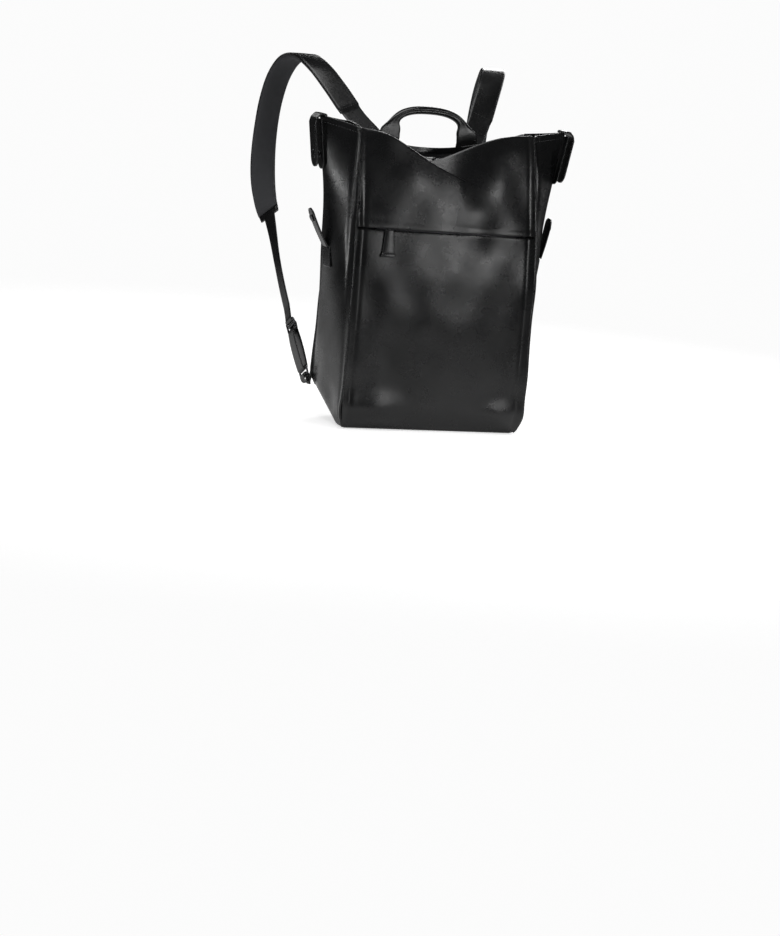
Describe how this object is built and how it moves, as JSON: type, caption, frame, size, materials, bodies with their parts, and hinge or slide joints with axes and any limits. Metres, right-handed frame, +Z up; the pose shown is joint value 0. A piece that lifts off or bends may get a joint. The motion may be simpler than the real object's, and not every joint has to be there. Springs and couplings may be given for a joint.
{
  "type": "leather backpack",
  "caption": "Black smooth leather shopper backpack: tube body folded into two wings at the slouched zip mouth, rolled top handle, padded shoulder straps and a zipped front pocket.",
  "frame": {"origin": "centre of the flat base, on the surface the bag stands on", "axes": "+Z up, -Y out of the front pocket side, +Y towards the wearer, +X to the right seen from the front"},
  "size_m": [0.4216, 0.3428, 0.5269],
  "materials": {
    "leather": "smooth semi-gloss black leather",
    "strap_leather": "black leather straps with painted edges",
    "lining": "matt woven lining",
    "foam": "matt padding",
    "board": "matt stiffener",
    "zip": "matt woven tape with black teeth",
    "metal": "dark polished hardware"
  },
  "bodies": {
    "bag": {"anchor_tab_left": "strap_leather", "anchor_tab_right": "strap_leather", "back_pad": "foam", "back_panel": "leather", "base_board": "board", "base_panel": "leather", "counter_strap_left": "strap_leather", "counter_strap_right": "strap_leather", "counter_stud_left": "metal", "counter_stud_right": "metal", "front_yoke": "leather", "gusset_left": "leather", "gusset_right": "leather", "handle_flare_left": "strap_leather", "handle_flare_right": "strap_leather", "handle_foot_left": "strap_leather", "handle_foot_right": "strap_leather", "inner_pocket": "lining", "laptop_sleeve": "lining", "lining": "lining", "main_zip_tape": "zip", "placket_back": "leather", "placket_front": "leather", "pocket_bag": "lining", "pocket_panel": "leather", "pocket_zip_tape": "zip", "side_patch_left": "strap_leather", "side_patch_right": "strap_leather", "strap_root_left": "strap_leather", "strap_root_right": "strap_leather"},
    "shoulder_strap_left": {"strap_leather_left": "strap_leather", "strap_foam_left": "foam", "strap_lining_left": "lining", "lower_strap_left": "strap_leather", "adjuster_loop_left": "strap_leather", "buckle_left": "metal", "ring_left": "metal"},
    "wing_tab_left": {"wing_tab_left": "strap_leather", "wing_cap_left": "metal"},
    "side_tab_left": {"side_tab_left": "strap_leather", "side_stud_left": "metal"},
    "main_slider_left": {"main_slider_left": "metal"},
    "main_pull_left": {"main_pull_left": "strap_leather"},
    "shoulder_strap_right": {"strap_leather_right": "strap_leather", "strap_foam_right": "foam", "strap_lining_right": "lining", "lower_strap_right": "strap_leather", "adjuster_loop_right": "strap_leather", "buckle_right": "metal", "ring_right": "metal"},
    "wing_tab_right": {"wing_tab_right": "strap_leather", "wing_cap_right": "metal"},
    "side_tab_right": {"side_tab_right": "strap_leather", "side_stud_right": "metal"},
    "main_slider_right": {"main_slider_right": "metal"},
    "main_pull_right": {"main_pull_right": "strap_leather"},
    "handle": {"handle_wrap": "strap_leather", "handle_core": "foam"},
    "pocket_zip_slider": {"pocket_zip_slider": "metal"},
    "pocket_zip_pull": {"pocket_zip_pull": "strap_leather"}
  },
  "joints": [
    {"name": "shoulder_strap_left_swing", "type": "hinge", "parent": "bag", "child": "shoulder_strap_left", "pos_m": [-0.067, 0.06, 0.401], "axis": [-0.2445, 0.0308, -0.9691], "range_deg": [-9, 9]},
    {"name": "wing_tab_left_lift", "type": "hinge", "parent": "bag", "child": "wing_tab_left", "pos_m": [-0.194, 0, 0.4546], "axis": [0, 1, 0], "range_deg": [0, 150]},
    {"name": "side_tab_left_flex", "type": "hinge", "parent": "bag", "child": "side_tab_left", "pos_m": [-0.1737, -0.008, 0.262], "axis": [0, -1, 0], "range_deg": [-12, 70]},
    {"name": "main_slider_left_run", "type": "hinge", "parent": "bag", "child": "main_slider_left", "pos_m": [0, 0.004, 0.767], "axis": [0, 1, 0], "range_deg": [0, 15]},
    {"name": "main_pull_left_flip", "type": "hinge", "parent": "main_slider_left", "child": "main_pull_left", "pos_m": [-0.00885, 0.004, 0.40011], "axis": [0, 1, 0], "range_deg": [0, 120]},
    {"name": "shoulder_strap_right_swing", "type": "hinge", "parent": "bag", "child": "shoulder_strap_right", "pos_m": [0.067, 0.06, 0.401], "axis": [0.2445, 0.0308, -0.9691], "range_deg": [-9, 9]},
    {"name": "wing_tab_right_lift", "type": "hinge", "parent": "bag", "child": "wing_tab_right", "pos_m": [0.194, 0, 0.4546], "axis": [0, -1, 0], "range_deg": [0, 150]},
    {"name": "side_tab_right_flex", "type": "hinge", "parent": "bag", "child": "side_tab_right", "pos_m": [0.1737, -0.008, 0.262], "axis": [0, 1, 0], "range_deg": [-3, 75]},
    {"name": "main_slider_right_run", "type": "hinge", "parent": "bag", "child": "main_slider_right", "pos_m": [0, 0.004, 0.767], "axis": [0, -1, 0], "range_deg": [0, 15]},
    {"name": "main_pull_right_flip", "type": "hinge", "parent": "main_slider_right", "child": "main_pull_right", "pos_m": [0.00885, 0.004, 0.40011], "axis": [0, -1, 0], "range_deg": [0, 120]},
    {"name": "handle_flop", "type": "hinge", "parent": "bag", "child": "handle", "pos_m": [0, 0.0545, 0.4338], "axis": [1, 0, 0], "range_deg": [-4, 75]},
    {"name": "pocket_slider_run", "type": "hinge", "parent": "bag", "child": "pocket_zip_slider", "pos_m": [0, 1.383, 0], "axis": [0, 0, 1], "range_deg": [0, 8.1]},
    {"name": "pocket_pull_lift", "type": "hinge", "parent": "pocket_zip_slider", "child": "pocket_zip_pull", "pos_m": [-0.096, -0.0565, 0.297], "axis": [0.9978, -0.0669, 0], "range_deg": [-110, 0]}
  ]
}
